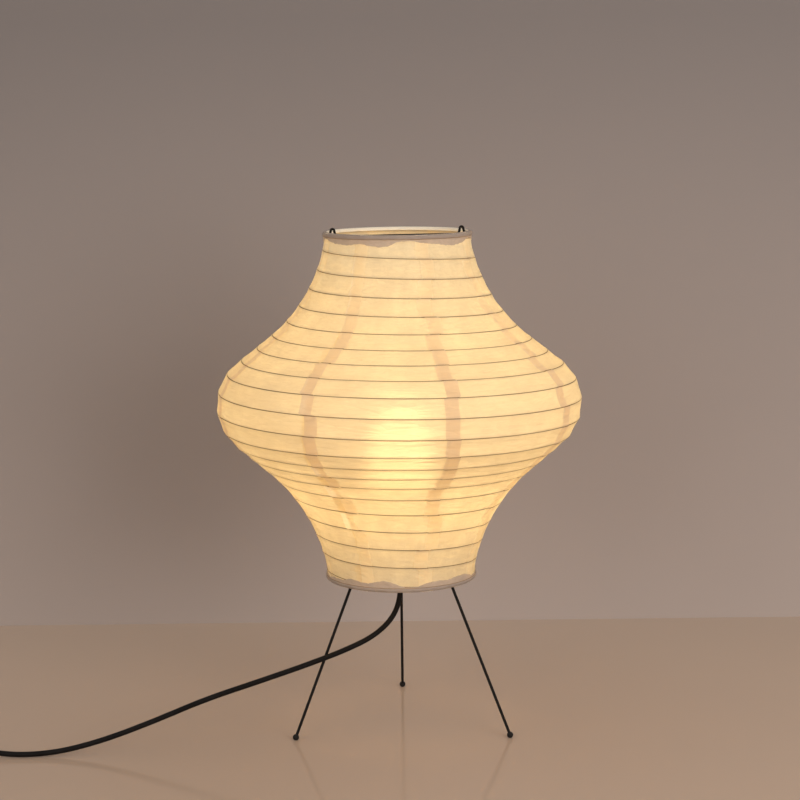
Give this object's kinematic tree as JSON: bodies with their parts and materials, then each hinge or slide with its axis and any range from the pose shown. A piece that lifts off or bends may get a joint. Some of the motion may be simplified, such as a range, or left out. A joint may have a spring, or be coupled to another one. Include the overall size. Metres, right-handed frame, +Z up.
{
  "type": "paper table lamp",
  "caption": "Table lamp with a bulging ribbed paper lantern shade on a black wire tripod with ball feet, a bulb inside, and a flex with an inline rocker switch and plug.",
  "frame": {"origin": "on the floor, below the middle of the shade", "axes": "+Z up along the lamp's axis, -Y towards the picture's viewer, -X the way the flex leaves"},
  "size_m": [0.8062, 0.377, 0.5217],
  "materials": {
    "black_wire": "satin black paint",
    "foot_rubber": "matte moulded rubber",
    "zinc_steel": "zinc plated",
    "phenolic": "pressed phenolic",
    "brass": "plain",
    "lead_sleeve": "extruded",
    "flex": "satin extruded sheath",
    "black_plastic": "fine moulded grain",
    "soft_black": "matte",
    "rocker_plastic": "polished",
    "solder": "soldered",
    "bulb_black": "vitrified glass",
    "bulb_cap": "rolled",
    "bulb_glass": "frosted, lit",
    "stem_glass": "clear",
    "filament": "lit",
    "paper": "thin crinkled mulberry paper",
    "hem_paper": "doubled paper binding",
    "cane": "split bamboo",
    "ring_steel": "drawn wire"
  },
  "bodies": {
    "stand": {"leg_rear": "black_wire", "leg_front_left": "black_wire", "leg_front_right": "black_wire", "hub_plate": "black_wire", "stretcher_wire": "black_wire", "foot_rear": "foot_rubber", "foot_front_left": "foot_rubber", "foot_front_right": "foot_rubber", "holder_nipple": "zinc_steel", "nipple_nuts": "zinc_steel", "lock_washer": "zinc_steel", "switch_pin": "zinc_steel", "switch_screws": "zinc_steel", "holder_base": "phenolic", "holder_insulator": "phenolic", "holder_shell": "phenolic", "thread_shell": "brass", "centre_contact": "brass", "terminal_screws": "brass", "switch_contacts": "brass", "plug_blades": "brass", "lead_wires": "lead_sleeve", "cord_inner": "flex", "cord_lead": "flex", "cord_link": "flex", "cord_coil": "flex", "cord_grip": "black_plastic", "switch_lower_shell": "black_plastic", "switch_upper_shell": "black_plastic", "plug_body": "black_plastic", "cord_tie": "soft_black", "plug_boot": "soft_black", "paper_gore_1": "paper", "paper_gore_2": "paper", "paper_gore_3": "paper", "paper_gore_4": "paper", "paper_gore_5": "paper", "paper_gore_6": "paper", "paper_gore_7": "paper", "paper_gore_8": "paper", "top_hem": "hem_paper", "bottom_hem": "hem_paper", "shade_rib": "cane", "top_ring": "ring_steel", "bottom_ring": "ring_steel"},
    "bulb": {"bulb_contact": "solder", "bulb_insulator": "bulb_black", "bulb_cap": "bulb_cap", "bulb_glass": "bulb_glass", "bulb_stem": "stem_glass", "bulb_filaments": "filament"},
    "rocker": {"switch_rocker": "rocker_plastic"}
  },
  "joints": [
    {"name": "bulb_lift", "type": "slide", "parent": "stand", "child": "bulb", "axis": [0, 0, 1], "range_m": [0, 0.035]},
    {"name": "rocker_tilt", "type": "hinge", "parent": "stand", "child": "rocker", "pos_m": [-0.491, -0.104, 0.013], "axis": [0, 1, 0], "range_deg": [0, 16]}
  ]
}
